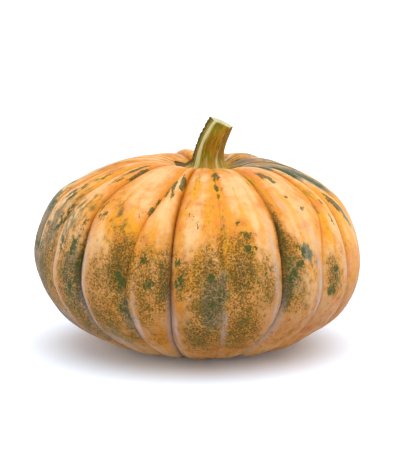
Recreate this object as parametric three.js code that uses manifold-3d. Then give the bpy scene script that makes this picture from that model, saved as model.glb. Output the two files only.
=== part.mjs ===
// A squat ribbed pumpkin that stands on its blossom end, with the cut stub of its stalk on top.
// Millimetres and degrees. +Z is up and -Y is the front. The origin is the middle of the fruit's
// footprint, on the surface that it stands on. The two solids are the fruit, which grew as one
// piece, and its stalk.
import * as THREE from "three";
import { ParametricGeometry } from "three/addons/geometries/ParametricGeometry.js";
import { mergeVertices } from "three/addons/utils/BufferGeometryUtils.js";
import Module from "manifold-3d";

// The fruit. Its widest level is the zero of the heights until it is stood on its base.
const CREST_RADIUS = 123.5; // from the stalk's axis to the rib crests
const CROWN_HEIGHT = 73; // from the widest level up to the highest crest
const BASE_DEPTH = 67; // from the widest level down to the lowest crest
const LOPSIDED = 0.053; // share by which the left side is fuller and the right side leaner
const RISE_TO_LEFT = 0.027; // slope of the crown, up to the left
const RISE_TO_BACK = 0.04; // slope of the crown, up to the back
const RESTING_FLAT = 0.8; // how far the lowest ribs are pressed flat where the fruit rests

// The crest line from the stalk to the blossom scar, as shares of the radius and of the height
// above, or of the depth below, the widest level.
const CREST_LINE = [
  [0, 0.85],
  [0.13, 0.905],
  [0.34, 1.005],
  [0.59, 0.915],
  [0.883, 0.595],
  [1, 0],
  [0.883, -0.53],
  [0.64, -0.865],
  [0.4, -0.99],
  [0.2, -1],
  [0, -0.9],
];

// The grooves between the ribs, anticlockwise as seen from above. Longitude 0 is the front and 90
// the right. Each has its longitude at the widest level, how far it strays from that at the stalk
// and at the blossom scar, and its depth. Deep and shallow ones take turns, as the veins do, and a
// shallow one may run into a deep one at the stalk. Swell is how proud the rib that follows it
// stands at the crown.
const GROOVES = [
  { at: -78, stray: [-4, 3], depth: 5.5 },
  { at: -59.5, stray: [-1, 1], depth: 2.8 },
  { at: -45.5, stray: [-3, -3], depth: 6.5 },
  { at: -26.5, stray: [9, 1], depth: 4 },
  { at: -12, stray: [0, -4], depth: 7.5 },
  { at: 5, stray: [0, -0.5], depth: 1.8 },
  { at: 26.5, stray: [3, -6], depth: 7 },
  { at: 44, stray: [18, -5], depth: 3.5 },
  { at: 62, stray: [5, -0.5], depth: 5 },
  { at: 80, stray: [-2, 3], depth: 3 },
  { at: 97, stray: [2, 2], depth: 6 },
  { at: 115, stray: [-9, -3], depth: 3 },
  { at: 133, stray: [3, 2], depth: 6.5, swell: 2.5 },
  { at: 151, stray: [8, -2], depth: 2.5 },
  { at: 169, stray: [-3, 3], depth: 6.5 },
  { at: 187, stray: [2, -3], depth: 3, swell: 4 },
  { at: 205, stray: [-2, 2], depth: 6.5 },
  { at: 223, stray: [11, 3], depth: 3.2 },
  { at: 243, stray: [-2, -3], depth: 6 },
  { at: 262, stray: [-8, 2], depth: 2.8 },
];
const RIB_ROUNDNESS = 0.55; // the lower, the flatter a rib's crest and the narrower its grooves
const GROOVE_FADE = 0.6; // how a groove's depth fades towards the stalk and the blossom scar
const COLUMNS_PER_RIB = 6;
const ROWS = 4 * (CREST_LINE.length - 1);

// The stalk, measured from its root at the middle of the crown's hollow.
const ROOT_HEIGHT = 64.5; // of the ring that the foot stands on, above the widest level
const ROOT_OFFSET = 2; // of the root, to the right of the fruit's axis
const STALK_TOP_RADIUS = 8.7;
const STALK_TAPER = 2.6; // how much thicker the stalk is just above its foot
const FOOT_FLARE = 9; // how much further the foot spreads
const FLARE_HEIGHT = 3.6; // over which the flare falls to a third
const RIDGES = 5;
const RIDGE_HEIGHT = 0.2; // share of the radius
const TOE_HEIGHT = 0.3; // share of the radius added where a ridge runs out over the foot
const RIDGE_SHARPNESS = 2.2;
const RIDGE_LONGITUDE = -26; // of the front ridge, at the cut
const TWIST = -20; // of the ridges from the cut to the foot
const CUT_TILT = 24; // of the cut's normal, to the right of upright
const STALK_COLUMNS = 40;
const STALK_ROWS = 14;
const STALK_GAP = 0.4; // between the foot and the fruit
// The middle of the stalk from below the skin to the cut, as distances right of and above its root.
const STALK_LINE = [
  [0, -6],
  [-0.6, 5],
  [-0.6, 13.5],
  [1.6, 22.5],
  [5.4, 30.5],
  [10, 37.5],
];

const { degToRad, lerp, smoothstep } = THREE.MathUtils;
const wasm = await Module();
wasm.setup();

// A closed geometry as a manifold-3d solid, and back.
function solidOf(geometry) {
  const bare = new THREE.BufferGeometry();
  bare.setAttribute("position", geometry.getAttribute("position").clone());
  bare.setIndex(geometry.getIndex());
  const merged = mergeVertices(bare, 1e-3);
  const corners = merged.getIndex().array;
  const kept = [];
  for (let i = 0; i < corners.length; i += 3) {
    const [a, b, c] = corners.slice(i, i + 3);
    if (a !== b && b !== c && c !== a) kept.push(a, b, c);
  }
  return new wasm.Manifold(
    new wasm.Mesh({
      numProp: 3,
      vertProperties: merged.getAttribute("position").array,
      triVerts: new Uint32Array(kept),
    }),
  );
}

function geometryOf(solid) {
  const mesh = solid.getMesh();
  const geometry = new THREE.BufferGeometry();
  geometry.setAttribute(
    "position",
    new THREE.BufferAttribute(new Float32Array(mesh.vertProperties), 3),
  );
  geometry.setIndex(new THREE.BufferAttribute(mesh.triVerts, 1));
  geometry.computeVertexNormals();
  return geometry;
}

// The crest line as a curve, with a mirrored point past each pole so that it crosses the axis
// level.
const heightOf = (share) => share * (share > 0 ? CROWN_HEIGHT : BASE_DEPTH);
const crestPoints = CREST_LINE.map(
  ([across, up]) => new THREE.Vector2(across * CREST_RADIUS, heightOf(up)),
);
const mirrored = ({ x, y }) => new THREE.Vector2(-x, y);
const crestCurve = new THREE.SplineCurve([
  mirrored(crestPoints[1]),
  ...crestPoints,
  mirrored(crestPoints.at(-2)),
]);

// A point of the crest line and its outward direction; t runs from 0 at the stalk to 1 at the scar.
function crestAt(t) {
  const spans = crestPoints.length - 1;
  const share = (1 + t * spans) / (spans + 2);
  const point = crestCurve.getPoint(share);
  const along = crestCurve.getTangent(share);
  return { point, outward: new THREE.Vector2(-along.y, along.x) };
}

// Where a groove runs at a level, which is 1 at the crown, 0 at the widest level and -1 at the
// base.
function grooveLongitude(index, level) {
  const turns = Math.floor(index / GROOVES.length);
  const { at, stray } = GROOVES[index % GROOVES.length];
  return at + 360 * turns + stray[level > 0 ? 0 : 1] * level ** 2;
}

// How far the skin lies inside the crest line, between groove number rib and the next one.
function inset(rib, share, radius, level) {
  const [from, to] = [rib, rib + 1].map((i) => GROOVES[i % GROOVES.length]);
  const bulge = (4 * share * (1 - share)) ** RIB_ROUNDNESS;
  const depth = lerp(from.depth, to.depth, smoothstep(share, 0, 1));
  const swell = (from.swell ?? 0) * bulge * smoothstep(level, 0, 1);
  return (depth * (1 - bulge) - swell) * (radius / CREST_RADIUS) ** GROOVE_FADE;
}

// Puts a point of the crest plane at a longitude, with the fruit's lopsidedness and tilted crown.
function place(radius, height, longitude, level, target) {
  const across = Math.sin(degToRad(longitude));
  const reach = radius * (1 - (LOPSIDED * across * radius) / CREST_RADIUS);
  const x = reach * across;
  const y = -reach * Math.cos(degToRad(longitude));
  const rise = (RISE_TO_BACK * y - RISE_TO_LEFT * x) * smoothstep(level, -0.9, 0);
  target.set(x, y, height + rise);
}

// The ribbed skin, grown outwards by a gap, in rings from the scar up to the stalk. Columns crowd
// towards the grooves, where the skin bends most.
function ribbedSkin(gap) {
  const ribs = GROOVES.length;
  const skin = (u, v, target) => {
    const { point, outward } = crestAt(1 - v);
    const rib = Math.min(Math.floor(u * ribs + 1e-6), ribs - 1);
    const share = (1 - Math.cos(Math.PI * (u * ribs - rib))) / 2;
    const level = point.y / (point.y > 0 ? CROWN_HEIGHT : BASE_DEPTH);
    const longitude = lerp(grooveLongitude(rib, level), grooveLongitude(rib + 1, level), share);
    point.addScaledVector(outward, gap - inset(rib, share, point.x, level));
    place(Math.max(point.x, 0), point.y, longitude, level, target);
  };
  return new ParametricGeometry(skin, ribs * COLUMNS_PER_RIB, ROWS);
}

// The stalk: rings of ridged outline along its middle line, closed by a disc at each end.
function stalk() {
  const line = new THREE.SplineCurve(STALK_LINE.map(([x, z]) => new THREE.Vector2(x, z)));
  const capRows = 1;
  const rows = STALK_ROWS + 2 * capRows;
  const skin = (u, v, target) => {
    const row = v * rows;
    const t = THREE.MathUtils.clamp((row - capRows) / STALK_ROWS, 0, 1);
    const closing = Math.min(row, rows - row, capRows) / capRows;
    const middle = line.getPoint(t);
    const along = line.getTangent(t);
    const lean = lerp(Math.atan2(along.x, along.y), degToRad(CUT_TILT), smoothstep(t, 0.85, 1));
    const flare = Math.exp(-Math.max(middle.y, 0) / FLARE_HEIGHT);
    const angle = degToRad(RIDGE_LONGITUDE + TWIST * (1 - t)) - 2 * Math.PI * u;
    const ridge = ((1 + Math.cos(RIDGES * angle)) / 2) ** RIDGE_SHARPNESS;
    const mean = STALK_TOP_RADIUS + STALK_TAPER * (1 - t) + FOOT_FLARE * flare;
    const radius = closing * mean * (0.93 + (RIDGE_HEIGHT + TOE_HEIGHT * flare) * ridge);
    const across = radius * Math.sin(2 * Math.PI * u);
    target.set(
      middle.x + across * Math.cos(lean),
      -radius * Math.cos(2 * Math.PI * u),
      middle.y - across * Math.sin(lean),
    );
  };
  return new ParametricGeometry(skin, STALK_COLUMNS, rows).translate(ROOT_OFFSET, 0, ROOT_HEIGHT);
}

// The surface that the fruit stands on, as a block whose top is at a height.
function groundBlock(top) {
  const side = 4 * CREST_RADIUS;
  return new THREE.BoxGeometry(side, side, side).translate(0, 0, top - side / 2);
}

function named(name, solid, look) {
  const mesh = new THREE.Mesh(geometryOf(solid), new THREE.MeshStandardMaterial(look));
  mesh.name = name;
  return mesh;
}

const rawFruit = solidOf(ribbedSkin(0));
const ground = rawFruit.boundingBox().min[2] + RESTING_FLAT;
const fruit = rawFruit.subtract(solidOf(groundBlock(ground)));
const stem = solidOf(stalk()).subtract(solidOf(ribbedSkin(STALK_GAP)));
const { min, max } = fruit.boundingBox();

const pumpkin = new THREE.Group();
pumpkin.add(
  named("fruit", fruit, { color: 0xe0a05a, roughness: 0.45, metalness: 0 }),
  named("stem", stem, { color: 0x8a6a22, roughness: 0.7, metalness: 0 }),
);
pumpkin.position.set(-(min[0] + max[0]) / 2, -(min[1] + max[1]) / 2, -ground);

export default pumpkin;
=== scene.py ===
"""A squat ribbed pumpkin with the cut stub of its stalk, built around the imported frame.

The frame's +Z is up and its -Y is the front. Lengths are metres in meshes and millimetres in the
tables. Longitude 0 is the front and 90 the right, in degrees about the fruit's own axis. A level is
1 at the crown, 0 at the widest part of the fruit and -1 at its base.
"""

import math

import bpy
import numpy as np
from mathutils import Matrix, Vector, noise
from mathutils.bvhtree import BVHTree


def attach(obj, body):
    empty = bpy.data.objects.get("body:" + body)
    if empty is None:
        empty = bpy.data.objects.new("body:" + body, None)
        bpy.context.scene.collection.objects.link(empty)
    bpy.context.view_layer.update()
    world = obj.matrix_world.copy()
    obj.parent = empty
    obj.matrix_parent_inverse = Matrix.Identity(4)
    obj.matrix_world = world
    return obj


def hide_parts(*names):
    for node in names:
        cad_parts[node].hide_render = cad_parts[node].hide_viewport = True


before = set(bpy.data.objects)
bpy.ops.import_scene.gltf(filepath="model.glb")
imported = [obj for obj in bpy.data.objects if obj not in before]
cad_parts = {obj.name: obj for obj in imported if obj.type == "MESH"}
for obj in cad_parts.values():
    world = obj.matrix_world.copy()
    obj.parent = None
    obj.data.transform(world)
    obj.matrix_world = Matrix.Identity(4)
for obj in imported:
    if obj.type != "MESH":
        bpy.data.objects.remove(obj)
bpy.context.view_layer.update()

bl_info = {
    "name": "Ribbed pumpkin",
    "version": (1, 0, 0),
    "blender": (4, 5, 0),
    "location": "View3D > Sidebar > Pumpkin",
    "description": "Builds a ribbed pumpkin, its stalk and a plain stage around the packed frame",
    "category": "Object",
}

MM = 0.001
FLOOR_REACH = 6.0  # metres from the middle of the floor to each of its sides
KEY_FROM = (0.15, -0.2, 1)  # the direction that the key light comes from

# In millimetres: the height of the fruit's widest level, and the stalk's root in the crown's hollow.
WIDEST_HEIGHT = 66.2
STALK_ROOT = (8.8, -0.8, 130.7)

# The middle of the stalk from below the skin to the cut: millimetres right of and above its root.
STALK_LINE = ((0, -6), (-0.6, 5), (-0.6, 13.5), (1.6, 22.5), (5.2, 31), (9.3, 38.8))

# The rings of the hollowed cut, as shares of its outline, and how far each is sunk in millimetres.
CUT_RINGS = ((0.965, -0.12), (0.9, 0.1), (0.72, 0.45), (0.5, 0.6), (0.3, 0.9), (0.14, 1.6))
CUT_CENTRE = 1.8  # millimetres that the middle of the cut is sunk
CUT_STARTS = 0.85  # share of the stalk's length at which it starts to turn to the cut

# Longitudes about the stalk, in degrees: its corky side, the cork at its foot, and its heel.
CORK_SIDE = 262
CORK_FOOT = 255
HEEL_SIDE = 250

# In millimetres: how far the heel bulges and how high that reaches, how far above the root the foot
# is still laid on the rind, its thickness at the root and where that has thinned to nothing, and
# from where and over what distance the heel's height falls.
HEEL_BULGE = 3.2
BULGE_HEIGHT = 5
DRAPED_BELOW = 12
FOOT_THICKNESS = 3.4
FOOT_REACH = 21
HEEL_STARTS = 12
HEEL_FALL = 11

# The crest line from the stalk to the blossom scar, as shares of the radius and of the height
# above, or of the depth below, the widest level.
CREST_LINE = (
    (0, 0.85),
    (0.13, 0.905),
    (0.34, 1.005),
    (0.59, 0.915),
    (0.883, 0.595),
    (1, 0),
    (0.883, -0.53),
    (0.64, -0.865),
    (0.4, -0.99),
    (0.2, -1),
    (0, -0.9),
)

# Each groove's longitude at the widest level, how far it strays from that at the stalk and at the
# blossom scar, its depth, and how proud the rib that follows it stands at the crown.
GROOVES = (
    (-78, -4, 3, 5.5, 0),
    (-59.5, -1, 1, 2.8, 0),
    (-45.5, -3, -3, 6.5, 0),
    (-26.5, 9, 1, 4, 0),
    (-12, 0, -4, 7.5, 0),
    (5, 0, -0.5, 1.8, 0),
    (26.5, 3, -6, 7, 0),
    (44, 18, -5, 3.5, 0),
    (62, 5, -0.5, 5, 0),
    (80, -2, 3, 3, 0),
    (97, 2, 2, 6, 0),
    (115, -9, -3, 3, 0),
    (133, 3, 2, 6.5, 2.5),
    (151, 8, -2, 2.5, 0),
    (169, -3, 3, 6.5, 0),
    (187, 2, -3, 3, 4),
    (205, -2, 2, 6.5, 0),
    (223, 11, 3, 3.2, 0),
    (243, -2, -3, 6, 0),
    (262, -8, 2, 2.8, 0),
)
DEEP_GROOVE = 7.0  # millimetres; a groove as deep as this counts as a full valley
FLAT_BLEND = 0.8  # millimetres over which the resting flats run into the rind
NARROWEST = 0.05  # share of the crest radius; nearer to the axis than this, spots narrow no further
GROOVE_FIELDS = ("longitude", "stray_crown", "stray_base", "depth", "swell")
CREST_FIELDS = ("radius", "height", "out_across", "out_up")


def linear(code):
    """A #rrggbb colour as linear red, green, blue and alpha."""
    shares = [int(code[i : i + 2], 16) / 255 for i in (1, 3, 5)]
    return tuple(s / 12.92 if s <= 0.04045 else ((s + 0.055) / 1.055) ** 2.4 for s in shares) + (1.0,)


def colour(name, code, description):
    """A colour property with its default given as #rrggbb."""
    return bpy.props.FloatVectorProperty(
        name=name, description=description, subtype="COLOR", size=4, min=0, max=1, default=linear(code)
    )


def length(name, millimetres, description):
    """A length property with its default in millimetres."""
    return bpy.props.FloatProperty(
        name=name, description=description, unit="LENGTH", precision=4, default=millimetres * MM
    )


def share(name, default, description):
    """A plain number property."""
    return bpy.props.FloatProperty(name=name, description=description, default=default)


def whole(name, default, description):
    """A whole-number property."""
    return bpy.props.IntProperty(name=name, description=description, default=default)


def angle(name, degrees, description):
    """An angle property with its default in degrees."""
    return bpy.props.FloatProperty(
        name=name, description=description, unit="ROTATION", default=math.radians(degrees)
    )


class FruitSettings(bpy.types.PropertyGroup):
    """Sizes of the ribbed fruit."""

    crest_radius: length("Crest radius", 123.5, "From the fruit's axis to the rib crests")
    crown_height: length("Crown height", 73, "From the widest level up to the highest crest")
    base_depth: length("Base depth", 67, "From the widest level down to the lowest crest")
    lopsided: share("Lopsided", 0.053, "How much fuller the left side is than the middle")
    rise_to_left: share("Rise to the left", 0.027, "Slope of the crown, up to the left")
    rise_to_back: share("Rise to the back", 0.04, "Slope of the crown, up to the back")
    rib_roundness: share("Rib roundness", 0.55, "The lower, the flatter the ribs' crests")
    groove_fade: share("Groove fade", 0.6, "How grooves grow shallow towards the axis")
    resting_flat: length("Resting flat", 0.8, "How far the lowest ribs are pressed flat")
    lumps: length("Lumps", 1.1, "Height of the slow unevenness of the skin")
    dimples: length("Dimples", 0.22, "Height of the finer unevenness of the skin")
    columns_per_rib: whole("Columns per rib", 18, "Faces across a rib")
    rows: whole("Rows", 260, "Faces from the scar to the stalk")


class RindSettings(bpy.types.PropertyGroup):
    """Colours of the rind."""

    peach: colour("Peach", "#c9a26e", "The pale crests of the ribs")
    # Also painted shade: the upper flanks beside the grooves are pushed towards this orange, besides its
    # ripe clouds and streaks.
    orange: colour("Orange", "#c0751f", "The ripe flanks of the ribs")
    amber: colour("Amber", "#c98a0e", "The ripest clouds of the skin")
    coral: colour("Coral", "#bd6834", "Reddish clouds")
    # Painted shade: multiplied into the skin to darken and grey it towards the base, where less light
    # falls.
    painted_base_shade: colour("Painted base shade", "#c0a99c", "The tint that the skin takes on towards the base")
    # Also painted shade where netting spots lie along the grooves.
    tan: colour("Tan", "#99600f", "The ground of the netting")
    straw: colour("Straw", "#be9852", "Specks inside the netting")
    rust: colour("Rust", "#7d3f0c", "Reddish brown specks inside the netting")
    olive: colour("Olive", "#2b2a05", "The netting itself")
    leaf: colour("Leaf green", "#303c0e", "Green streaks and blots")
    pine: colour("Pine", "#3b5040", "The cooler heart of the green marks")
    sage: colour("Sage", "#676a45", "The green wash of the unripe ribs")
    slate: colour("Slate", "#3f5150", "The bluish heart of the green wash")
    moss: colour("Moss", "#374212", "The darker streaks in the green wash")
    # Partly painted sheen: besides wax, this paints the pale reflection along the groove edges and soft
    # highlights on the ribs.
    bloom_and_painted_sheen: colour("Bloom and painted sheen", "#a69a94", "The grey wax in the grooves")
    # Painted shade: darkens the walls and bottoms of the deep grooves.
    painted_groove_shade: colour("Painted groove shade", "#442a11", "The bottoms of the deep grooves")
    scar: colour("Scar", "#7d5f3b", "The corky blossom scar")


class StalkSettings(bpy.types.PropertyGroup):
    """Sizes and colours of the stalk."""

    top_radius: length("Top radius", 8.7, "Mean radius at the cut")
    taper: length("Taper", 2.6, "How much thicker the stalk is above its foot")
    foot_flare: length("Foot flare", 9.0, "How much further the foot spreads")
    flare_height: length("Flare height", 3.6, "Height over which the flare falls to a third")
    ridge_height: share("Ridge height", 0.2, "Height of the five ridges, as a share of the radius")
    toe_height: share("Toe height", 0.3, "How much further a ridge runs out over the foot")
    ridges: whole("Ridges", 5, "Sharp ridges round the stalk")
    front_ridge: angle("Front ridge", -34, "Longitude of the front ridge at the cut")
    twist: angle("Twist", -14, "Turn of the ridges from the cut to the foot")
    cut_tilt: angle("Cut tilt", 24, "Lean of the cut's normal to the right")
    cut_front: angle("Cut towards the front", 7, "Lean of the cut's normal to the front")
    heel: length("Heel", 10, "Height of the corky wedge at the left of the foot")
    striations: share("Striations", 0.014, "Height of the fine ribs, as a share of the radius")
    corkiness: length("Corkiness", 0.9, "Height of the rough cork on the left side")
    hem: length("Hem", 0.35, "How far the foot's edge sinks into the rind")
    columns: whole("Columns", 180, "Faces round the stalk")
    rows: whole("Rows", 120, "Faces from the foot to the cut")
    ochre: colour("Ochre", "#9a6a04", "The faces between the ridges")
    moss: colour("Moss", "#7a740a", "The greener faces")
    # Painted shade in the furrows between the ridges, and also the colour of the dark fibre streaks.
    painted_shade_and_dark_streaks: colour("Shade", "#382806", "The furrows between the ridges")
    cream: colour("Cream", "#c5b988", "The tops of the ridges")
    cut_face: colour("Cut face", "#c7c79d", "The fresh cut")
    pith: colour("Pith", "#a7995e", "The middle of the cut and its ring of fibres")
    cork: colour("Cork", "#503a1b", "Rough corky scabs")
    foot: colour("Foot", "#b99b46", "The foot where it joins the rind")


class StageSettings(bpy.types.PropertyGroup):
    """The floor, the lights and the camera."""

    camera_distance: length("Camera distance", 935.0, "From the widest level's middle")
    camera_height: angle("Camera elevation", 10, "How far the camera looks down")
    focal_length: share("Focal length", 96.7, "In millimetres, for a sensor 36 mm high")
    floor_colour: colour("Floor colour", "#ebf3fe", "The floor")
    horizon: share("Horizon", 2.25, "Brightness of the white surround at the floor's edge")
    sky: share("Sky", 0.9, "Brightness of the white surround overhead")
    sides: share("Side light", 0.45, "How much brighter the surround is at the left and right")
    key: share("Key light", 2.5, "Strength of the soft light overhead")
    key_size: angle("Key size", 80, "How wide the key light looks from the floor")
    shift_right: share("Shift right", 0.0055, "How far the frame is shifted to the right")
    shift_up: share("Shift up", 0.0652, "How far the frame is shifted up")


class Field:
    """A number in a node tree. Arithmetic on it adds Math nodes to the tree."""

    def __init__(self, graph, socket):
        self.graph = graph
        self.socket = socket

    def __add__(self, other):
        return self.graph.math("ADD", self, other)

    def __sub__(self, other):
        return self.graph.math("SUBTRACT", self, other)

    def __rsub__(self, other):
        return self.graph.math("SUBTRACT", other, self)

    def __mul__(self, other):
        return self.graph.math("MULTIPLY", self, other)

    def __truediv__(self, other):
        return self.graph.math("DIVIDE", self, other)

    def __pow__(self, other):
        return self.graph.math("POWER", self, other)

    __radd__ = __add__
    __rmul__ = __mul__


class Graph:
    """Adds nodes to a geometry or shader tree. Inputs are numbers, colours, fields or sockets."""

    PER_LINE = 12

    def __init__(self, tree):
        self.tree = tree

    def node(self, kind, inputs=None, **settings):
        node = self.tree.nodes.new(kind)
        line, place = divmod(len(self.tree.nodes), self.PER_LINE)
        node.location = (place * 200, line * -260)
        for name, value in settings.items():
            setattr(node, name, value)
        for key, value in (inputs or {}).items():
            self.feed(node.inputs[key], value)
        return node

    def feed(self, socket, value):
        if isinstance(value, Field):
            value = value.socket
        if isinstance(value, bpy.types.NodeSocket):
            self.tree.links.new(value, socket)
        else:
            socket.default_value = value

    def math(self, operation, *values):
        node = self.node("ShaderNodeMath", dict(enumerate(values)), operation=operation)
        return Field(self, node.outputs[0])

    def vector(self, x, y, z):
        return self.node("ShaderNodeCombineXYZ", {0: x, 1: y, 2: z}).outputs[0]

    def split(self, vector):
        node = self.node("ShaderNodeSeparateXYZ", {0: vector})
        return [Field(self, socket) for socket in node.outputs]

    def scaled(self, vector, factor):
        node = self.node("ShaderNodeVectorMath", {0: vector}, operation="SCALE")
        self.feed(node.inputs["Scale"], factor)
        return node.outputs[0]

    def mix(self, low, high, part):
        return low + (high - low) * part

    def rise(self, value, start, end):
        """0 below start and 1 above end, eased between; the other way round if end is below."""
        node = self.node(
            "ShaderNodeMapRange",
            {"Value": value, "From Min": start, "From Max": end},
            interpolation_type="SMOOTHSTEP",
        )
        return Field(self, node.outputs[0])

    def noise(self, vector, scale, detail=2.0, roughness=0.5):
        node = self.node(
            "ShaderNodeTexNoise",
            {"Vector": vector, "Scale": scale, "Detail": detail, "Roughness": roughness},
        )
        return Field(self, node.outputs[0])


class ShaderGraph(Graph):
    """Adds the nodes of a material."""

    def blend(self, below, above, part, mode="MIX"):
        """The colour above laid over the colour below."""
        node = self.node("ShaderNodeMix", data_type="RGBA", blend_type=mode, clamp_factor=True)
        for index, value in ((0, part), (6, below), (7, above)):
            self.feed(node.inputs[index], value)
        return node.outputs[2]

    def attribute(self, name):
        node = self.node("ShaderNodeAttribute", attribute_name=name)
        return Field(self, node.outputs["Fac"])

    def attribute_vector(self, name):
        return self.node("ShaderNodeAttribute", attribute_name=name).outputs["Vector"]

    def surface(self, skin, roughness, specular, relief, strength, height):
        """The finished surface, with its relief as bumps of the given height in metres."""
        bump = self.node("ShaderNodeBump", {"Strength": strength, "Distance": height, "Height": relief})
        shader = self.node(
            "ShaderNodeBsdfPrincipled",
            {
                "Base Color": skin,
                "Roughness": roughness,
                "Normal": bump.outputs[0],
                "Specular IOR Level": specular,
            },
        )
        self.node("ShaderNodeOutputMaterial", {"Surface": shader.outputs[0]})


class GeometryGraph(Graph):
    """Adds the nodes of a modifier's tree."""

    def inputs(self, kinds):
        for name, kind in kinds.items():
            self.tree.interface.new_socket(name=name, in_out="INPUT", socket_type="NodeSocket" + kind)
        self.tree.interface.new_socket(name="Geometry", in_out="OUTPUT", socket_type="NodeSocketGeometry")
        sockets = self.node("NodeGroupInput").outputs
        numbers = ("Float", "Int")
        return {
            name: Field(self, sockets[name]) if kind in numbers else sockets[name]
            for name, kind in kinds.items()
        }

    def sample(self, geometry, name, index):
        """A number stored at another geometry's point."""
        value = self.node("GeometryNodeInputNamedAttribute", {"Name": name}, data_type="FLOAT")
        inputs = {"Geometry": geometry, "Value": value.outputs[0], "Index": index}
        node = self.node("GeometryNodeSampleIndex", inputs, data_type="FLOAT")
        return Field(self, node.outputs[0])

    def store(self, geometry, name, value, kind="FLOAT"):
        inputs = {"Geometry": geometry, "Name": name, "Value": value}
        return self.node("GeometryNodeStoreNamedAttribute", inputs, data_type=kind).outputs[0]

    def moved(self, geometry, position=None, offset=None):
        node = self.node("GeometryNodeSetPosition", {"Geometry": geometry})
        if position is not None:
            self.feed(node.inputs["Position"], position)
        if offset is not None:
            self.feed(node.inputs["Offset"], offset)
        return node.outputs[0]


def new_object(name, data):
    """A new object in the scene."""
    thing = bpy.data.objects.new(name, data)
    bpy.context.scene.collection.objects.link(thing)
    return thing


def store_numbers(mesh, name, values):
    """Stores one number for each point of a mesh."""
    layer = mesh.attributes.new(name, "FLOAT", "POINT")
    layer.data.foreach_set("value", np.asarray(values, np.float32))


def point_table(name, columns):
    """An object of loose points that carries named columns of numbers."""
    mesh = bpy.data.meshes.new(name)
    mesh.from_pydata([(0, 0, 0)] * len(next(iter(columns.values()))), [], [])
    for column, values in columns.items():
        store_numbers(mesh, column, values)
    return new_object(name, mesh)


def catmull_rom(points, steps):
    """Points along a smooth curve through all but the first and last points, and its directions."""
    points = np.asarray(points, float)
    spans = len(points) - 3
    place = np.linspace(0, spans, spans * steps + 1)
    first = np.minimum(place.astype(int), spans - 1)
    part = (place - first)[:, None]
    before, start, end, after = (points[first + i] for i in range(4))
    leave = (end - before) / 2
    arrive = (after - start) / 2
    cubic = 2 * start - 2 * end + leave + arrive
    square = -3 * start + 3 * end - 2 * leave - arrive
    where = cubic * part**3 + square * part**2 + leave * part + start
    heading = 3 * cubic * part**2 + 2 * square * part + leave
    return where, heading / np.linalg.norm(heading, axis=1, keepdims=True)


def crest_line(settings):
    """The crest line from the scar up to the stalk: radii and heights, and outward directions."""
    heights = (settings.base_depth, settings.crown_height)
    points = [(r * settings.crest_radius, h * heights[h > 0]) for r, h in CREST_LINE]
    points = [(-points[1][0], points[1][1]), *points, (-points[-2][0], points[-2][1])]
    steps = settings.rows // (len(CREST_LINE) - 1)
    where, heading = catmull_rom(points, steps)
    outward = np.stack([-heading[:, 1], heading[:, 0]], 1)
    return where[::-1], outward[::-1]


# The numbers that the fruit's tree is given, and the settings that they come from.
FRUIT_NUMBERS = {
    "Columns per rib": "columns_per_rib",
    "Crest radius": "crest_radius",
    "Crown height": "crown_height",
    "Base depth": "base_depth",
    "Lopsided": "lopsided",
    "Rise to the left": "rise_to_left",
    "Rise to the back": "rise_to_back",
    "Rib roundness": "rib_roundness",
    "Groove fade": "groove_fade",
    "Resting flat": "resting_flat",
    "Lumps": "lumps",
    "Dimples": "dimples",
}


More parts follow.
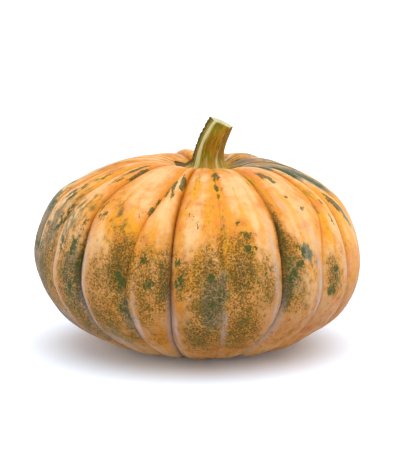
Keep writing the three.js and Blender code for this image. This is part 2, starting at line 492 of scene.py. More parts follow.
def ribbed_fruit_tree():
    """Lays a grid over the crest line and the grooves, and closes it into a fruit."""
    tree = bpy.data.node_groups.new("Ribbed fruit", "GeometryNodeTree")
    tree.is_modifier = True
    g = GeometryGraph(tree)
    given = g.inputs(
        {
            "Geometry": "Geometry",
            "Crest line": "Object",
            "Grooves": "Object",
            "Groove count": "Int",
            "Rows": "Int",
            **dict.fromkeys(FRUIT_NUMBERS, "Float"),
            "Columns per rib": "Int",
            "Material": "Material",
        }
    )
    crest = g.node("GeometryNodeObjectInfo", {"Object": given["Crest line"]}).outputs["Geometry"]
    grooves = g.node("GeometryNodeObjectInfo", {"Object": given["Grooves"]}).outputs["Geometry"]
    ribs = given["Groove count"]
    per_column = given["Rows"] + 1
    grid = g.node(
        "GeometryNodeMeshGrid",
        {"Vertices X": ribs * given["Columns per rib"] + 1, "Vertices Y": per_column},
    ).outputs[0]
    index = Field(g, g.node("GeometryNodeInputIndex").outputs[0])
    column = g.math("FLOOR", (index + 0.5) / per_column)
    row = index - column * per_column

    # Which rib a point is on, and how far across it. Columns crowd towards the grooves. The small
    # addition keeps a column that lies on a groove from being rounded down to the rib before it.
    across = column / given["Columns per rib"]
    rib = g.math("MINIMUM", g.math("FLOOR", across + 1e-4), ribs - 1)
    part = 0.5 - g.math("COSINE", (across - rib) * math.pi) * 0.5
    left, right = (
        {name: g.sample(grooves, name, rib + side) for name in GROOVE_FIELDS} for side in (0, 1)
    )

    # The crest line's point on this row.
    radius, height, out_across, out_up = (g.sample(crest, name, row) for name in CREST_FIELDS)
    above = g.math("GREATER_THAN", height, 0)
    level = height / g.mix(given["Base depth"], given["Crown height"], above)

    # The groove or bulge there.
    longitudes = [
        side["longitude"] + g.mix(side["stray_base"], side["stray_crown"], above) * level * level
        for side in (left, right)
    ]
    longitude = g.math("RADIANS", g.mix(*longitudes, part))
    bulge = (part * (1 - part) * 4) ** given["Rib roundness"]
    depth = g.mix(left["depth"], right["depth"], g.rise(part, 0, 1))
    swell = left["swell"] * bulge * g.rise(level, 0, 1)
    reach = radius / given["Crest radius"]
    inset = (depth * (1 - bulge) - swell) * g.math("MAXIMUM", reach, 0) ** given["Groove fade"]
    radius = g.math("MAXIMUM", radius - out_across * inset, 0)
    height = height - out_up * inset

    # The lopsided fruit with its tilted crown.
    sine = g.math("SINE", longitude)
    cosine = g.math("COSINE", longitude)
    radius = radius * (1 - given["Lopsided"] * sine * radius / given["Crest radius"])
    x = radius * sine
    y = radius * cosine * -1
    slope = given["Rise to the back"] * y - given["Rise to the left"] * x
    skin = g.moved(grid, position=g.vector(x, y, height + slope * g.rise(level, -0.9, 0)))
    valley = (1 - bulge) * depth / (DEEP_GROOVE * MM)
    for name, value in (("valley", valley), ("edge", 1 - bulge), ("level", level), ("reach", reach)):
        skin = g.store(skin, name, value)
    skin = g.store(skin, "flow", g.vector(sine, cosine * -1, level), "FLOAT_VECTOR")
    skin = g.node("GeometryNodeMergeByDistance", {"Geometry": skin, "Distance": 1e-6}).outputs[0]

    # Slow lumps and finer dimples along the skin's normal.
    position = g.node("GeometryNodeInputPosition").outputs[0]
    normal = g.node("GeometryNodeInputNormal").outputs[0]
    uneven = (g.noise(position, 24, 1) - 0.5) * given["Lumps"] * 2
    uneven = uneven + (g.noise(position, 110, 2) - 0.5) * given["Dimples"] * 2
    skin = g.moved(skin, offset=g.scaled(normal, uneven))

    # The flats that the fruit rests on, and the frame's origin under the middle of the fruit.
    x, y, z = g.split(position)
    lowest = g.node("GeometryNodeAttributeStatistic", {"Geometry": skin, "Attribute": z}).outputs["Min"]
    ground = Field(g, lowest) + given["Resting flat"]
    pressed = g.math("SMOOTH_MAX", z, ground, FLAT_BLEND * MM) - ground
    skin = g.moved(skin, position=g.vector(x, y, pressed))
    box = g.node("GeometryNodeBoundBox", {"Geometry": skin})
    low = g.split(box.outputs["Min"])
    high = g.split(box.outputs["Max"])
    middle = [(a + b) * -0.5 for a, b in zip(low[:2], high[:2])]
    skin = g.moved(skin, offset=g.vector(*middle, 0))
    skin = g.node("GeometryNodeSetShadeSmooth", {"Geometry": skin}).outputs[0]
    skin = g.node("GeometryNodeRealizeInstances", {"Geometry": skin}).outputs[0]
    inputs = {"Geometry": skin, "Material": given["Material"]}
    skin = g.node("GeometryNodeSetMaterial", inputs).outputs[0]
    g.node("NodeGroupOutput", {"Geometry": skin})
    return tree


def set_inputs(modifier, values):
    """Sets a modifier's inputs, each by its socket's identifier."""
    for item in modifier.node_group.interface.items_tree:
        if item.in_out == "INPUT" and item.name in values:
            modifier[item.identifier] = values[item.name]


def make_real(thing, name):
    """Turns a modifier's result into a plain mesh, and removes the modifier."""
    bpy.context.view_layer.update()
    evaluated = thing.evaluated_get(bpy.context.evaluated_depsgraph_get())
    mesh = bpy.data.meshes.new_from_object(evaluated)
    mesh.name = name
    thing.modifiers.clear()
    thing.data = mesh


# Where the pattern of the skin lies, with some spots of painted shade and painted sheen among it. Each
# spot has its longitude, its level, its half width and its half length along the rib, in millimetres, its
# strength, and if it leans, its lean in degrees.
GREEN_MARKS = (
    (-53, 0.97, 1.9, 18, 1.1),
    (-48.5, 0.965, 1.7, 14, 1.05),
    (-47, 0.91, 2.4, 7, 0.85),
    (-52, 0.89, 1.8, 6, 0.8),
    (-13.5, 0.93, 1.7, 10, 1.2),
    (-17, 0.9, 1.7, 9, 1.05),
    (-19, 0.86, 1.8, 8, 0.95),
    (-16, 0.83, 1.4, 7, 0.8),
    (-21, 0.79, 1.9, 7, 0.9),
    (-22, 0.72, 2.6, 5, 0.95, 12),
    (-25, 0.66, 1.6, 4, 0.75),
    (5, 0.97, 3.4, 8, 0.95),
    (5.5, 0.89, 3.2, 5.5, 1.05),
    (5.5, 0.84, 2.2, 4, 0.7),
    (39, 0.965, 2.2, 8, 1.1),
    (42, 0.94, 2.2, 8, 1.1),
    (72, 0.965, 4, 9, 1.25),
    (70, 0.97, 6, 12, 1.1),
    (79, 0.91, 8, 14, 1.4),
    (85, 0.85, 5, 12, 1.25),
    (94, 0.95, 7, 16, 0.9),
    (-86, 0.56, 9, 20, 0.9),
    (-92, 0.66, 7, 16, 0.9),
    (-68, 0.75, 6, 14, 0.8),
    (-66, 0.87, 5, 9, 0.65),
    (-59, 0.6, 5, 12, 0.95, 12),
    (-62, 0.45, 4, 16, 0.65),
    (-70, 0.3, 5, 20, 0.65),
    (-55, 0.3, 4, 12, 0.6),
    (-79, 0.1, 5, 22, 0.7),
    (-74, 0.5, 4, 14, 0.6),
    (-48, 0.5, 3, 12, 0.5),
    (-45.5, 0.12, 2.6, 24, 0.95),
    (-43, 0.68, 3, 9, 0.75),
    (-39, 0.62, 5, 6, 0.6),
    (-5.5, 0.69, 2, 4, 0.8),
    (-4, 0.61, 1.6, 6, 0.75, -8),
    (11.5, 0.62, 2, 2, 0.95),
    (14, 0.53, 4, 3.6, 1.05),
    (14.5, 0.42, 4.6, 3.2, 1.05, 25),
    (10, 0.4, 2, 3, 0.75),
    (19, 0.62, 2, 2.4, 0.55),
    (28, 0.62, 2, 5, 0.8),
    (43, 0.7, 2.2, 2.8, 0.85),
    (39, 0.8, 2.2, 2.6, 0.65),
    (57, 0.58, 3, 8, 0.55, 10),
    (69.5, 0.68, 3.4, 11, 1.25, -6),
    (72, 0.59, 4.4, 11, 1.3, -6),
    (74, 0.49, 4, 8, 1.0),
    (35.5, 0.36, 4.5, 8, 0.8, -28),
    (33, 0.25, 5, 4, 0.75, -20),
    (29.5, 0.16, 5, 8, 0.8),
    (48, 0.22, 5, 6, 0.45),
    (50, 0.1, 4, 8, 0.6),
    (47.5, -0.06, 5, 5, 1.05, 20),
    (-18, 0.08, 4.2, 3.6, 1.2),
    (-20, 0.3, 5, 5, 0.65),
    (-9.5, 0.3, 2, 6, 0.9),
    (-8.5, 0.12, 3.4, 7, 0.75),
    (-28, 0.08, 4, 7, 0.9),
    (-27, -0.25, 4, 9, 0.7),
    (-49, 0.3, 3.5, 14, 0.7),
    (-48.5, -0.05, 3.5, 12, 0.65),
    (2, 0.15, 5, 5, 0.75),
    (19, 0.2, 6, 5, 0.6),
    (4, 0.0, 3, 9, 0.4),
    (21, 0.05, 3, 6, 0.55),
    (59, 0.72, 2, 6, 0.5),
    (84, 0.4, 3, 9, 0.5),
    (104, 0.6, 4, 14, 0.9),
    (118, 0.3, 4, 9, 0.8),
    (140, 0.75, 4, 14, 0.9),
    (158, 0.85, 3, 12, 0.9),
    (163, 0.45, 5, 8, 0.8),
    (181, 0.9, 3, 9, 0.9),
    (183, 0.2, 4, 6, 0.9),
    (198, 0.6, 4, 10, 0.9),
    (214, 0.88, 4, 14, 0.9),
    (219, 0.25, 5, 9, 0.8),
    (236, 0.7, 4, 12, 0.9),
    (252, 0.85, 4, 12, 0.8),
    (250, 0.2, 4, 14, 0.7),
)
# Spots of fine netting, in the same order; the narrow rows that run along the grooves, such as those near
# longitudes -45.5, -14, 4.5 and 28, paint those grooves' shade in the netting's browns.
NETTING_AND_GROOVE_SHADE = (
    (-29, 0.14, 13, 27, 1.1),
    (-45.5, 0.06, 4, 30, 1.9),
    (-37, 0.06, 13, 26, 0.8),
    (-36, -0.35, 18, 32, 0.8),
    (-28, -0.55, 12, 24, 0.6),
    (-51, 0.05, 13, 40, 0.8),
    (-52, -0.45, 14, 30, 0.85),
    (-66, 0.05, 18, 40, 1.0),
    (-66, -0.5, 18, 34, 0.9),
    (-86, 0.0, 16, 40, 0.8),
    (-72, 0.55, 12, 20, 0.5),
    (-19, 0.14, 12, 26, 0.8),
    (-14, 0.12, 6, 28, 1.15),
    (-27.5, -0.1, 5, 32, 0.9),
    (-20, -0.2, 13, 26, 0.7),
    (-18, -0.6, 10, 16, 0.4),
    (-8, 0.15, 10, 26, 0.6),
    (0, 0.22, 9, 18, 1.0),
    (4.5, 0.34, 3, 18, 0.9),
    (0, -0.1, 15, 34, 1.0),
    (-3, -0.5, 15, 26, 0.9),
    (11, 0.2, 15, 26, 1.0),
    (20, 0.08, 12, 26, 0.8),
    (13, -0.34, 17, 38, 0.85),
    (31, 0.2, 9, 26, 0.9),
    (28, 0.42, 4, 28, 1.4),
    (28, 0.0, 4, 20, 1.7),
    (31, -0.05, 10, 18, 0.8),
    (33, -0.2, 10, 16, 0.4),
    (49, 0.08, 8, 16, 1.1),
    (76, 0.94, 9, 18, 0.2),
    (90, 0.9, 14, 30, 0.3),
    (112, 0.95, 16, 40, 0.3),
    (120, -0.1, 16, 30, 0.5),
    (150, 0.0, 20, 40, 0.7),
    (178, 0.1, 18, 40, 0.9),
    (200, -0.2, 20, 40, 0.8),
    (225, 0.1, 20, 40, 0.9),
    (250, -0.1, 20, 40, 0.8),
)
# Spots of soft green, in the same order.
GREEN_WASH = (
    (-49, 0.1, 8, 44, 1.0),
    (-54, 0.5, 12, 24, 0.7),
    (-64, 0.45, 14, 34, 0.85),
    (-68, -0.1, 18, 44, 0.9),
    (-84, 0.2, 22, 50, 1.05),
    (-95, 0.7, 16, 30, 0.8),
    (-66, -0.5, 24, 26, 0.8),
    (-38, -0.6, 16, 20, 0.65),
    (-50, -0.58, 14, 22, 0.75),
    (-37, 0.38, 5, 8, 0.55),
    (-28, -0.05, 5, 26, 0.7),
    (-27, -0.32, 5, 22, 1.2),
    (-8.5, 0.1, 4, 12, 0.6),
    (1.5, -0.14, 9, 26, 1.35),
    (4.5, 0.04, 4.5, 15, 1.3),
    (18, 0.15, 9, 10, 0.55),
    (31, 0.08, 10, 20, 0.85),
    (36.5, 0.34, 4.5, 8, 1.4, -28),
    (34, -0.15, 9, 14, 0.5),
    (50, 0.08, 8, 16, 0.6),
    (-5, -0.35, 12, 20, 0.45),
    (64, 1.0, 10, 12, 1.2),
    (71, 0.96, 12, 16, 1.4),
    (80, 0.9, 13, 20, 1.4),
    (75, 0.94, 8, 16, 1.25),
    (84, 0.86, 9, 18, 1.25),
    (92, 0.94, 14, 40, 1.1),
    (112, 0.95, 16, 40, 1.1),
    (125, 0.8, 18, 60, 1.0),
    (142, 0.9, 18, 40, 0.9),
    (160, 0.3, 24, 60, 0.8),
    (188, 0.1, 20, 60, 0.7),
    (215, 0.2, 24, 60, 0.9),
    (240, 0.1, 22, 60, 0.9),
)
# Spots of grey wax and of painted sheen, in the same order: the long narrow rows beside the grooves paint
# the pale reflection along the groove edges, and the faint rows at levels about 0.6 to 0.76 paint soft
# highlights.
WAX_AND_PAINTED_SHEEN = (
    (-23.8, -0.4, 3.2, 38, 0.85),
    (-11, -0.5, 3, 30, 0.75),
    (6, -0.5, 3.2, 34, 0.7),
    (-43, -0.05, 3.4, 56, 0.9),
    (-58, -0.2, 3.4, 50, 0.85),
    (23.4, 0.15, 2.4, 52, 0.85),
    (42, 0.0, 3.2, 50, 0.85),
    (58, 0.1, 2.4, 46, 0.55),
    (-62, -0.6, 28, 28, 0.62),
    (-40, -0.72, 20, 18, 0.7),
    (-8, -0.85, 30, 8, 0.4),
    (22, 0.6, 5, 22, 0.4),
    (39, 0.62, 7, 18, 0.5),
    (34, 0.76, 8, 16, 0.5),
    (-42, 0.62, 5, 16, 0.4),
    (82, 0.97, 3, 26, 0.6),
    (150, -0.4, 20, 30, 0.5),
    (205, -0.4, 20, 30, 0.5),
    (245, -0.5, 24, 30, 0.6),
)
# Spots of deep amber, in the same order.
RIPE = (
    (92, 0.3, 26, 60, 1.4),
    (70, 0.3, 10, 40, 1.2),
    (52, 0.5, 10, 22, 0.5),
    (11, 0.57, 11, 17, 1.0),
    (36, 0.72, 9, 16, 0.3),
    (-27.5, 0.42, 6, 20, 1.0),
    (-28, 0.12, 7, 24, 0.9),
    (-17, 0.5, 8, 18, 0.6),
    (-9.5, 0.02, 4, 16, 1.3),
    (-3, 0.86, 9, 14, 0.25),
    (-16, -0.6, 6, 20, 0.6),
    (-70, 0.85, 16, 16, 0.6),
    (130, 0.3, 18, 50, 0.7),
    (175, 0.5, 18, 30, 0.7),
    (230, 0.6, 18, 30, 0.7),
)
PATTERN = {"mark": GREEN_MARKS, "netting_and_groove_shade": NETTING_AND_GROOVE_SHADE, "wash": GREEN_WASH, "wax_and_painted_sheen": WAX_AND_PAINTED_SHEEN, "ripe": RIPE}


def attribute_values(mesh, name, width=1):
    """A mesh attribute as an array."""
    values = np.zeros(len(mesh.vertices) * width, np.float32)
    mesh.attributes[name].data.foreach_get("vector" if width == 3 else "value", values)
    return values.reshape(-1, width) if width > 1 else values


def crest_distances(settings):
    """Levels from the base up to the crown, and how far along the crest line each of them lies."""
    where, _ = crest_line(settings)
    along_crest = np.append(0, np.cumsum(np.linalg.norm(np.diff(where, axis=0), axis=1)))
    heights = where[:, 1]
    levels = heights / np.where(heights > 0, settings.crown_height, settings.base_depth)
    # Between the base and the crown the level only rises, so a distance can be read from it.
    outer = slice(int(np.argmin(levels)), int(np.argmax(levels)) + 1)
    return levels[outer], along_crest[outer]


def lay_pattern(mesh, settings):
    """Stores how strongly each kind of spot shows at each vertex."""
    flow = attribute_values(mesh, "flow", 3)
    level = attribute_values(mesh, "level")
    reach = attribute_values(mesh, "reach")
    around = np.arctan2(flow[:, 0], -flow[:, 1])
    levels, distances = crest_distances(settings)
    distance = np.interp(level, levels, distances)
    # Nearer to the axis than the highest crest, the distance grows with the way inwards.
    crown_reach = CREST_LINE[2][0]
    beyond = (crown_reach - reach) * settings.crest_radius * np.where(level > 0, 1, -1)
    distance = distance + np.where(reach < crown_reach, beyond, 0)
    for name, spots in PATTERN.items():
        total = np.zeros(len(level))
        for longitude, at, wide, long, strength, *leans in spots:
            turn = (around - math.radians(longitude) + math.pi) % (2 * math.pi) - math.pi
            across = turn * np.maximum(reach, NARROWEST) * settings.crest_radius / MM
            along = (distance - np.interp(at, levels, distances)) / MM
            lean = math.radians(sum(leans))
            cosine = math.cos(lean)
            sine = math.sin(lean)
            side = (across * cosine - along * sine) / wide
            up = (across * sine + along * cosine) / long
            total = np.maximum(total, strength * np.exp(-(side**2 + up**2)))
        store_numbers(mesh, name, total)


def bare_material(name):
    """A material without nodes, and the graph that adds them."""
    material = bpy.data.materials.new(name)
    material.use_nodes = True
    material.node_tree.nodes.clear()
    return material, ShaderGraph(material.node_tree)


def rind_material(colours):
    """Peach and orange skin with netting, green marks, wax and painted sheen in the grooves, and painted
    shade in the grooves and towards the base.
    """
    material, g = bare_material("Rind")
    place = g.node("ShaderNodeTexCoord").outputs["Object"]
    level, valley, edge, mark = map(g.attribute, ("level", "valley", "edge", "mark"))
    netting_and_groove_shade, wash, wax_and_painted_sheen, ripeness = map(g.attribute, ("netting_and_groove_shade", "wash", "wax_and_painted_sheen", "ripe"))

    # Streaks that run along the ribs, fine across and long down the rib, and rounder clouds.
    flow_x, flow_y, flow_z = g.split(g.attribute_vector("flow"))
    streaks = g.noise(g.vector(flow_x * 14, flow_y * 14, flow_z * 2.5), 1, 3)
    fine_streaks = g.noise(g.vector(flow_x * 52, flow_y * 52, flow_z * 7), 1, 3, 0.6)
    shreds = g.noise(g.vector(flow_x * 34, flow_y * 34, flow_z * 15), 1, 4, 0.65)
    clouds = g.noise(place, 26, 4, 0.55)
    reds = g.noise(place, 60, 3, 0.6)
    blotches = g.noise(place, 190, 4, 0.65)
    pepper = g.noise(place, 760, 4, 0.8)
    grain = g.noise(place, 1500, 2, 0.6)

    # The ripe skin: pale crests, flanks pushed towards orange as painted shade near the grooves high on
    # the ribs, clouds of amber and coral, and painted shade towards the base.
    # Painted shade: the flanks beside the grooves, high on the ribs, are pushed from peach towards orange
    # along with the ripe clouds and streaks.
    flanks = edge * g.rise(level, 0.1, 0.7)
    ripe = g.rise(flanks + clouds * 1.6 + streaks + (blotches - 0.5) * 0.9, 0.95, 1.8)
    skin = g.blend(colours.peach, colours.orange, ripe)
    golden = streaks * 1.2 + clouds + fine_streaks * 0.6 + ripeness * 0.55
    skin = g.blend(skin, colours.amber, g.rise(golden, 1.3, 1.75) * 0.8)
    reddish = g.rise(reds * 1.4 + clouds + ripeness * 0.15, 1.2, 1.55)
    skin = g.blend(skin, colours.coral, reddish * 0.55)
    # Painted shade: the skin is darkened and greyed towards the base by multiplying in the base shade
    # colour.
    low = g.rise(level + (clouds - 0.5) * 1.2 - wax_and_painted_sheen * 0.3, 0.6, -0.6) * g.rise(level, -1.05, -0.45)
    skin = g.blend(skin, colours.painted_base_shade, low * 0.9, "MULTIPLY")

    # The green wash of ribs that ripened less, in sage, moss and slate streaks.
    uneven = (streaks - 0.5) * 1.5 + (shreds - 0.5) * 1.8 + (clouds - 0.5) * 0.9 + (blotches - 0.5) * 0.5
    washed = g.rise(wash * 1.1 + uneven * 1.2, 0.15, 0.95)
    greyed = g.blend(colours.sage, colours.moss, g.rise(shreds + blotches * 0.5, 0.68, 0.86) * 0.8)
    greyed = g.blend(greyed, colours.slate, g.rise(wash + streaks * 1.2 + reds * 0.6, 1.35, 1.85) * 0.75)
    skin = g.blend(skin, greyed, washed * 0.86)

    # The brown ground of the netting, which along some grooves is painted shade, then its fine dark mesh
    # with straw, rust and moss specks.
    patchy = (blotches - 0.5) * 1.1 + (clouds - 0.5) * 1.4 + (shreds - 0.5) * 0.6
    browned = g.rise(netting_and_groove_shade + patchy * 0.6, 0.0, 0.75)
    skin = g.blend(skin, colours.tan, browned * (1 - washed * 0.6) * 0.75)
    belt = g.rise(level, 0.55, 0.2) * g.rise(level, -1.0, -0.7)
    sparse = belt * g.rise(blotches + clouds * 0.8, 0.8, 1.15) * 0.5
    dense = g.math("MAXIMUM", g.rise(netting_and_groove_shade + patchy, 0.1, 0.85), sparse) * (1 - washed * 0.3)
    skin = g.blend(skin, colours.straw, g.rise(pepper, 0.47, 0.38) * dense * 0.5)
    net = g.rise(pepper + dense * 0.1, 0.52, 0.66) * g.rise(dense, 0.0, 0.6)
    skin = g.blend(skin, colours.rust, g.rise(grain + (reds - 0.5) * 0.6, 0.53, 0.62) * dense * 0.45)
    mossy = g.rise(reds + shreds * 0.6 + netting_and_groove_shade * 0.3, 0.95, 1.3) * dense
    skin = g.blend(skin, colours.moss, mossy * 0.45)
    ink = g.blend(colours.olive, colours.moss, g.rise(reds + shreds, 0.95, 1.15))
    skin = g.blend(skin, ink, net * 0.75)
    skin = g.blend(skin, colours.olive, g.rise(netting_and_groove_shade + patchy * 0.8, 0.55, 1.3) * 0.5)

    # Green streaks and blots, with ragged edges and a cooler heart.
    base = g.math("MAXIMUM", mark, wash * 0.28)
    ragged = base + (shreds - 0.5) * 2.2 + (blotches - 0.5) * 1.1 + (grain - 0.5) * 0.6
    ragged = ragged * g.rise(base, 0.1, 0.3)
    green = g.rise(ragged, 0.45, 0.62)
    heart = g.rise(ragged + (clouds - 0.5) * 3.0, 0.95, 1.5) * 0.85
    greens = g.blend(colours.leaf, colours.pine, heart)
    skin = g.blend(skin, greens, green * g.rise(pepper + blotches * 0.5, 0.5, 0.8) * 0.4 + green * 0.5)

    # Wax and painted sheen in spots and low in the grooves, painted shade on the walls and bottoms of the
    # deep grooves, and the blossom scar.
    # Wax and painted sheen: pale grey laid low in the grooves and in the listed spots, which also paint
    # reflections along groove edges and soft highlights.
    waxy_and_painted_sheen = g.rise(valley + (fine_streaks - 0.5) * 0.4, 0.25, 0.85) * g.rise(level, 0.2, -0.35) * 0.5
    spread = g.rise(wax_and_painted_sheen + (fine_streaks - 0.5) * 0.9 + (blotches - 0.5) * 1.1, 0.25, 1.05)
    waxy_and_painted_sheen = g.math("MAXIMUM", waxy_and_painted_sheen, spread * 0.75) * (1 - net * 0.45)
    skin = g.blend(skin, colours.bloom_and_painted_sheen, waxy_and_painted_sheen)
    # Painted shade on the walls and bottoms of the deep grooves, where little light reaches.
    painted_wall_shade = g.rise(valley, 0.25, 0.85) * g.rise(level, -0.75, -0.2) * g.rise(level, 1.0, 0.75)
    skin = g.blend(skin, colours.painted_groove_shade, painted_wall_shade * 0.22)
    painted_crease_shade = g.rise(valley, 0.6, 1.02) * g.rise(level, 1.0, 0.6) * g.rise(level, -0.6, 0.1)
    skin = g.blend(skin, colours.painted_groove_shade, painted_crease_shade * 0.5)
    scarred = g.rise(g.attribute("reach") + (blotches - 0.5) * 0.05, 0.1, 0.07) * g.rise(level, 0.1, -0.1)
    skin = g.blend(skin, colours.scar, scarred)

    rough = 0.46 + dense * 0.16 + waxy_and_painted_sheen * 0.12 + (grain - 0.5) * 0.14
    relief = grain * 0.25 + blotches * 0.5 + fine_streaks * 0.5 + net * 0.3
    relief = relief - green * 0.2 + scarred * pepper * 2
    g.surface(skin, rough, specular=0.12, relief=relief, strength=0.6, height=0.4 * MM)
    return material


def bump_round(turn, middle, width):
    """1 at one longitude in degrees and falling off to both sides; the width is in radians."""
    return np.exp(-(((turn - math.radians(middle)) / width) ** 2))


def stalk_rings(settings):
    """Rings of ridged outline from the buried foot up to the cut, in the frame, with their fields."""
    points = np.array([STALK_LINE[0], *STALK_LINE, STALK_LINE[-1]]) * MM
    where, heading = catmull_rom(points, settings.rows // (len(STALK_LINE) - 1))
    rows = len(where)
    t = np.linspace(0, 1, rows)[:, None]
    turn = np.arange(settings.columns)[None] * (2 * math.pi / settings.columns)
    near_cut = np.clip((t - CUT_STARTS) / (1 - CUT_STARTS), 0, 1)
    near_cut = near_cut * near_cut * (3 - 2 * near_cut)
    lean = np.arctan2(heading[:, :1], heading[:, 1:])
    lean = lean + (settings.cut_tilt - lean) * near_cut
    flare = np.exp(-np.maximum(where[:, 1:], 0) / settings.flare_height)

    phase = settings.front_ridge + settings.twist * (1 - t) - turn
    ridge = ((1 + np.cos(settings.ridges * phase)) / 2) ** 2.2
    minor = ((1 + np.cos(settings.ridges * phase + math.pi)) / 2) ** 3
    fine = np.cos(23 * phase + 2 * np.sin(3 * t + 2 * turn))
    fine = fine + np.cos(41 * phase + 3 * np.sin(2 * t + turn))
    mean = settings.top_radius + settings.taper * (1 - t) + settings.foot_flare * flare
    outline = 0.93 + (settings.ridge_height + settings.toe_height * flare) * ridge
    outline = outline + 0.06 * minor * (1 - t) + settings.striations * fine * 0.5
    radius = mean * outline

    # Rough cork up the left side, thickest at the foot.
    corky = bump_round(turn, CORK_SIDE, math.radians(24)) * np.ones_like(t)
    corky = np.maximum(corky, bump_round(turn, CORK_FOOT, 0.9) * np.exp(-t / 0.22))
    grain_round, grain_along = 5, 22  # how finely the cork is broken round the stalk and along it
    rough = np.empty_like(radius)
    for row, column in np.ndindex(*radius.shape):
        at = turn[0, column]
        spot = Vector((math.cos(at) * grain_round, math.sin(at) * grain_round, t[row, 0] * grain_along))
        rough[row, column] = noise.fractal(spot, 0.6, 2.0, 4)
    radius = radius + settings.corkiness * corky * rough * np.clip(1.4 - near_cut, 0, 1)
    low_down = np.exp(-np.maximum(where[:, 1:], 0) / (BULGE_HEIGHT * MM))
    radius = radius + HEEL_BULGE * MM * (bump_round(turn, HEEL_SIDE, 0.8) * low_down)

    across = radius * np.sin(turn)
    front = radius * np.cos(turn)
    tip = near_cut * math.tan(settings.cut_front)
    x = where[:, :1] + across * np.cos(lean)
    z = where[:, 1:] - across * np.sin(lean) - front * tip
    skin = np.stack([x, -front, z], 2) + np.array(STALK_ROOT) * MM
    fields = {
        "ridge": ridge,
        "minor": minor,
        "front": ridge * (np.cos(phase) > math.cos(math.pi / settings.ridges)),
        "along": t * np.ones_like(ridge),
        "corky": corky,
        "cut": np.zeros_like(ridge),
        "turn_x": np.cos(turn) * np.ones_like(t),
        "turn_y": np.sin(turn) * np.ones_like(t),
    }
    return skin, fields


def drape(skin, fruit, settings):
    """Lays the foot on the rind: it thins outwards, and its edge sinks in."""
    mesh = fruit.data
    points = np.zeros(len(mesh.vertices) * 3, np.float32)
    mesh.vertices.foreach_get("co", points)
    faces = [tuple(face.vertices) for face in mesh.polygons]
    tree = BVHTree.FromPolygons(points.reshape(-1, 3).tolist(), faces)
    root = np.array(STALK_ROOT) * MM
    down = Vector((0, 0, -1))
    for row, column in np.ndindex(*skin.shape[:2]):
        x, y, z = skin[row, column]
        if z > root[2] + DRAPED_BELOW * MM:
            continue
        hit = tree.ray_cast(Vector((x, y, 2 * root[2])), down)[0]
        if hit is None:
            continue
        spread = math.hypot(x - root[0], y - root[1])
        thick = FOOT_THICKNESS * MM * (1 - spread / (FOOT_REACH * MM))
        side = bump_round(column * 2 * math.pi / skin.shape[1], CORK_SIDE, 0.5)
        fall = max(0, spread - HEEL_STARTS * MM) / (HEEL_FALL * MM)
        thick += settings.heel * side * max(0, 1 - fall)
        skin[row, column, 2] = max(z, hit.z + max(thick, -settings.hem))
    return skin


def stalk_mesh(skin, fields, settings):
    """The stalk's closed mesh: its side, its hollowed cut, and a disc under its foot."""
    rows, columns = skin.shape[:2]
    tilt = settings.cut_tilt
    normal = np.array([math.sin(tilt), -math.sin(settings.cut_front), math.cos(tilt)])
    centre = skin[-1].mean(0)
    rings = [*skin]
    extra = {name: [*values] for name, values in fields.items()}
    for part, sink in CUT_RINGS:
        rings.append(centre + (skin[-1] - centre) * part - normal * sink * MM)
        for name, values in fields.items():
            extra[name].append(np.full(columns, part) if name == "cut" else values[-1])
    middles = [centre - normal * CUT_CENTRE * MM, skin[0].mean(0)]
    points = np.concatenate([np.concatenate(rings), middles])
    faces = []
    for row in range(len(rings) - 1):
        for column in range(columns):
            after = (column + 1) % columns
            low = row * columns
            high = low + columns
            faces.append((low + column, low + after, high + after, high + column))
    last = (len(rings) - 1) * columns
    top = len(points) - 2
    for column in range(columns):
        after = (column + 1) % columns
        faces.append((last + column, last + after, top))
        faces.append((after, column, top + 1))
    mesh = bpy.data.meshes.new("stalk")
    mesh.from_pydata(points.tolist(), [], faces)
    for name, values in extra.items():
        ends = [0.02 if name == "cut" else 0.0, 0.0]
        store_numbers(mesh, name, np.concatenate([np.concatenate(values), ends]))
    mesh.shade_smooth()
    return mesh


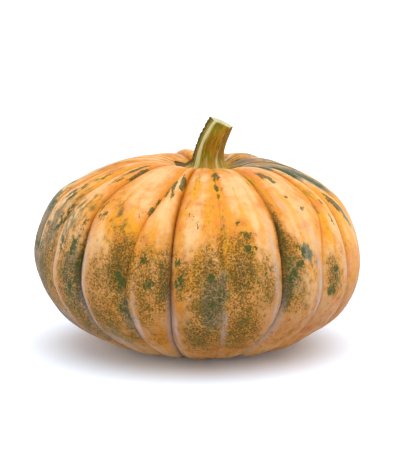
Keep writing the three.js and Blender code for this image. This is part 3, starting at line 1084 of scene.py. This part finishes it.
def stalk_material(colours):
    """Dry ochre and moss-green stalk with pale ridges, brown cork and a pale cut."""
    material, g = bare_material("Stalk")
    place = g.node("ShaderNodeTexCoord").outputs["Object"]
    ridge, minor, along, corky = map(g.attribute, ("ridge", "minor", "along", "corky"))
    front, cut, turn_x, turn_y = map(g.attribute, ("front", "cut", "turn_x", "turn_y"))

    fibres = g.noise(g.vector(turn_x * 9, turn_y * 9, along * 2.2), 1, 4, 0.65)
    threads = g.noise(g.vector(turn_x * 30, turn_y * 30, along * 4), 1, 3, 0.7)
    clouds = g.noise(place, 130, 3, 0.6)
    grit = g.noise(place, 800, 4, 0.7)

    # Ochre and mossy faces with painted shade in the furrows, dark fibre streaks and pale ridges, all
    # streaked along the stalk.
    mossy = g.rise(fibres + (clouds - 0.5) * 0.8 - turn_y * 0.16, 0.45, 0.68)
    bark = g.blend(colours.ochre, colours.moss, mossy)
    # Painted shade: the furrows between the ridges are darkened.
    painted_furrow_shade = g.rise(ridge * 1.6 + minor * 0.7 + threads * 0.6, 0.62, 0.3)
    bark = g.blend(bark, colours.painted_shade_and_dark_streaks, painted_furrow_shade * 0.4)
    bark = g.blend(bark, colours.painted_shade_and_dark_streaks, g.rise(threads + (fibres - 0.5) * 0.6, 0.52, 0.38) * 0.65)
    bark = g.blend(bark, colours.foot, g.rise(threads - (fibres - 0.5) * 0.5, 0.54, 0.68) * 0.5)
    pale = ridge * (0.72 + front * 0.4 - along * 0.12 * (1 - front))
    pale = g.rise(pale + (fibres - 0.5) * 1.6 + (threads - 0.5) * 1.0, 0.55, 0.95)
    pale = g.math("MAXIMUM", pale, g.rise(minor * (1 - along) + (threads - 0.5) * 0.9, 0.5, 0.85) * 0.6)
    bark = g.blend(bark, colours.cream, pale * 0.8)

    # The paler foot, and cork where the skin has split.
    footed = g.rise(along + (fibres - 0.5) * 0.6, 0.4, 0.1)
    bark = g.blend(bark, colours.foot, footed * 0.75)
    scabs = g.rise(corky + (grit - 0.5) * 1.6 + (threads - 0.5) * 0.5, 0.4, 0.6)
    cork = g.blend(colours.cork, colours.cream, g.rise(grit, 0.58, 0.7) * 0.45)
    bark = g.blend(bark, cork, scabs * 0.8)

    # The cut: pale flesh, a ring of fibre ends and a darker pith.
    ring = g.rise(cut, 0.6, 0.72) * g.rise(cut, 0.86, 0.76) * g.rise(grit, 0.45, 0.6)
    flesh = g.blend(colours.cut_face, colours.pith, g.math("MAXIMUM", ring, g.rise(cut, 0.45, 0.2)) * 0.8)
    on_cut = g.rise(cut, 0.0, 0.015)
    skin = g.blend(bark, flesh, on_cut)

    relief = threads * 0.8 + fibres * 0.5 + grit * (0.25 + corky * 1.2)
    rough = 0.7 + (grit - 0.5) * 0.2
    g.surface(skin, rough, specular=0.1, relief=relief, strength=1.0, height=1.2 * MM)
    return material


def finished(piece, node):
    """Puts a finished piece in its CAD node's stead."""
    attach(piece, "root")
    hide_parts(node)


class PUMPKIN_OT_fruit(bpy.types.Operator):
    """Build the ribbed fruit"""

    bl_idname = "pumpkin.fruit"
    bl_label = "Fruit"

    def execute(self, context):
        settings = context.scene.pumpkin_fruit
        where, outward = crest_line(settings)
        crest = point_table("crest_table", dict(zip(CREST_FIELDS, np.hstack([where, outward]).T)))
        rows = [list(row) for row in GROOVES]
        rows.append([rows[0][0] + 360, *rows[0][1:]])
        columns = dict(zip(GROOVE_FIELDS, np.array(rows, float).T))
        columns["depth"] *= MM
        columns["swell"] *= MM
        grooves = point_table("groove_table", columns)
        fruit = new_object("pumpkin_fruit", bpy.data.meshes.new("seed"))
        modifier = fruit.modifiers.new("Ribbed fruit", "NODES")
        modifier.node_group = ribbed_fruit_tree()
        set_inputs(
            modifier,
            {
                "Crest line": crest,
                "Grooves": grooves,
                "Groove count": len(GROOVES),
                "Rows": len(where) - 1,
                **{name: getattr(settings, source) for name, source in FRUIT_NUMBERS.items()},
                "Material": rind_material(context.scene.pumpkin_rind),
            },
        )
        make_real(fruit, "fruit")
        for table in (crest, grooves):
            bpy.data.objects.remove(table)
        if not fruit.data.polygons:
            raise RuntimeError("the fruit's tree made no faces")
        lay_pattern(fruit.data, settings)
        finished(fruit, "fruit")
        return {"FINISHED"}


class PUMPKIN_OT_stalk(bpy.types.Operator):
    """Build the ridged stalk on the fruit's crown"""

    bl_idname = "pumpkin.stalk"
    bl_label = "Stalk"

    def execute(self, context):
        settings = context.scene.pumpkin_stalk
        fruit = bpy.data.objects.get("pumpkin_fruit")
        if fruit is None:
            raise RuntimeError("the fruit is built before the stalk")
        skin, fields = stalk_rings(settings)
        mesh = stalk_mesh(drape(skin, fruit, settings), fields, settings)
        mesh.materials.append(stalk_material(settings))
        finished(new_object("pumpkin_stalk", mesh), "stem")
        return {"FINISHED"}


class PUMPKIN_OT_stage(bpy.types.Operator):
    """Build the floor, the lights and the camera"""

    bl_idname = "pumpkin.stage"
    bl_label = "Stage"

    def execute(self, context):
        settings = context.scene.pumpkin_stage
        scene = context.scene
        scene.view_settings.view_transform = "Standard"

        mesh = bpy.data.meshes.new("floor")
        corners = [(x * FLOOR_REACH, y * FLOOR_REACH, 0) for x, y in ((-1, -1), (1, -1), (1, 1), (-1, 1))]
        mesh.from_pydata(corners, [], [(0, 1, 2, 3)])
        floor = new_object("floor", mesh)
        material = bpy.data.materials.new("Floor")
        material.use_nodes = True
        shader = material.node_tree.nodes["Principled BSDF"]
        shader.inputs["Base Color"].default_value = settings.floor_colour
        shader.inputs["Roughness"].default_value = 0.9
        shader.inputs["Specular IOR Level"].default_value = 0.0
        mesh.materials.append(material)

        world = bpy.data.worlds.new("Studio")
        scene.world = world
        world.use_nodes = True
        tree = world.node_tree
        tree.nodes.clear()
        g = Graph(tree)
        toward = g.node("ShaderNodeTexCoord").outputs["Generated"]
        across, _, upward = g.split(toward)
        overhead = g.rise(upward, 0.1, 0.4)
        around = (across * across * settings.sides + 1) * settings.horizon
        strength = overhead * settings.sky + (1 - overhead) * around
        background = g.node("ShaderNodeBackground", {"Color": (1, 1, 1, 1), "Strength": strength})
        g.node("ShaderNodeOutputWorld", {"Surface": background.outputs[0]})

        key = bpy.data.lights.new("key", "SUN")
        key.energy = settings.key
        key.angle = settings.key_size
        lamp = new_object("key", key)
        lamp.rotation_euler = Vector(KEY_FROM).to_track_quat("Z", "Y").to_euler()

        widest = Vector((0, 0, WIDEST_HEIGHT * MM))
        camera = new_object("camera", bpy.data.cameras.new("camera"))
        tilt = settings.camera_height
        away = Vector((0, -math.cos(tilt), math.sin(tilt))) * settings.camera_distance
        camera.location = widest + away
        camera.rotation_euler = (-away).to_track_quat("-Z", "Y").to_euler()
        camera.data.sensor_width = 36
        camera.data.lens = settings.focal_length
        camera.data.shift_x = settings.shift_right
        camera.data.shift_y = settings.shift_up
        camera.data.clip_start = 0.05
        scene.camera = camera
        return {"FINISHED"}


class PUMPKIN_PT_panel(bpy.types.Panel):
    """Lists the pumpkin's operators"""

    bl_label = "Pumpkin"
    bl_idname = "PUMPKIN_PT_panel"
    bl_space_type = "VIEW_3D"
    bl_region_type = "UI"
    bl_category = "Pumpkin"

    def draw(self, context):
        for operator in OPERATORS:
            self.layout.operator(operator.bl_idname)


OPERATORS = (PUMPKIN_OT_fruit, PUMPKIN_OT_stalk, PUMPKIN_OT_stage)
SETTINGS = {
    "pumpkin_fruit": FruitSettings,
    "pumpkin_rind": RindSettings,
    "pumpkin_stalk": StalkSettings,
    "pumpkin_stage": StageSettings,
}


def register():
    for kind in (*SETTINGS.values(), *OPERATORS, PUMPKIN_PT_panel):
        bpy.utils.register_class(kind)
    for name, kind in SETTINGS.items():
        setattr(bpy.types.Scene, name, bpy.props.PointerProperty(type=kind))


def unregister():
    for name in SETTINGS:
        delattr(bpy.types.Scene, name)
    for kind in (PUMPKIN_PT_panel, *OPERATORS, *SETTINGS.values()):
        bpy.utils.unregister_class(kind)


def main():
    register()
    bpy.ops.pumpkin.fruit()
    bpy.ops.pumpkin.stalk()
    bpy.ops.pumpkin.stage()


if __name__ == "__main__":
    main()
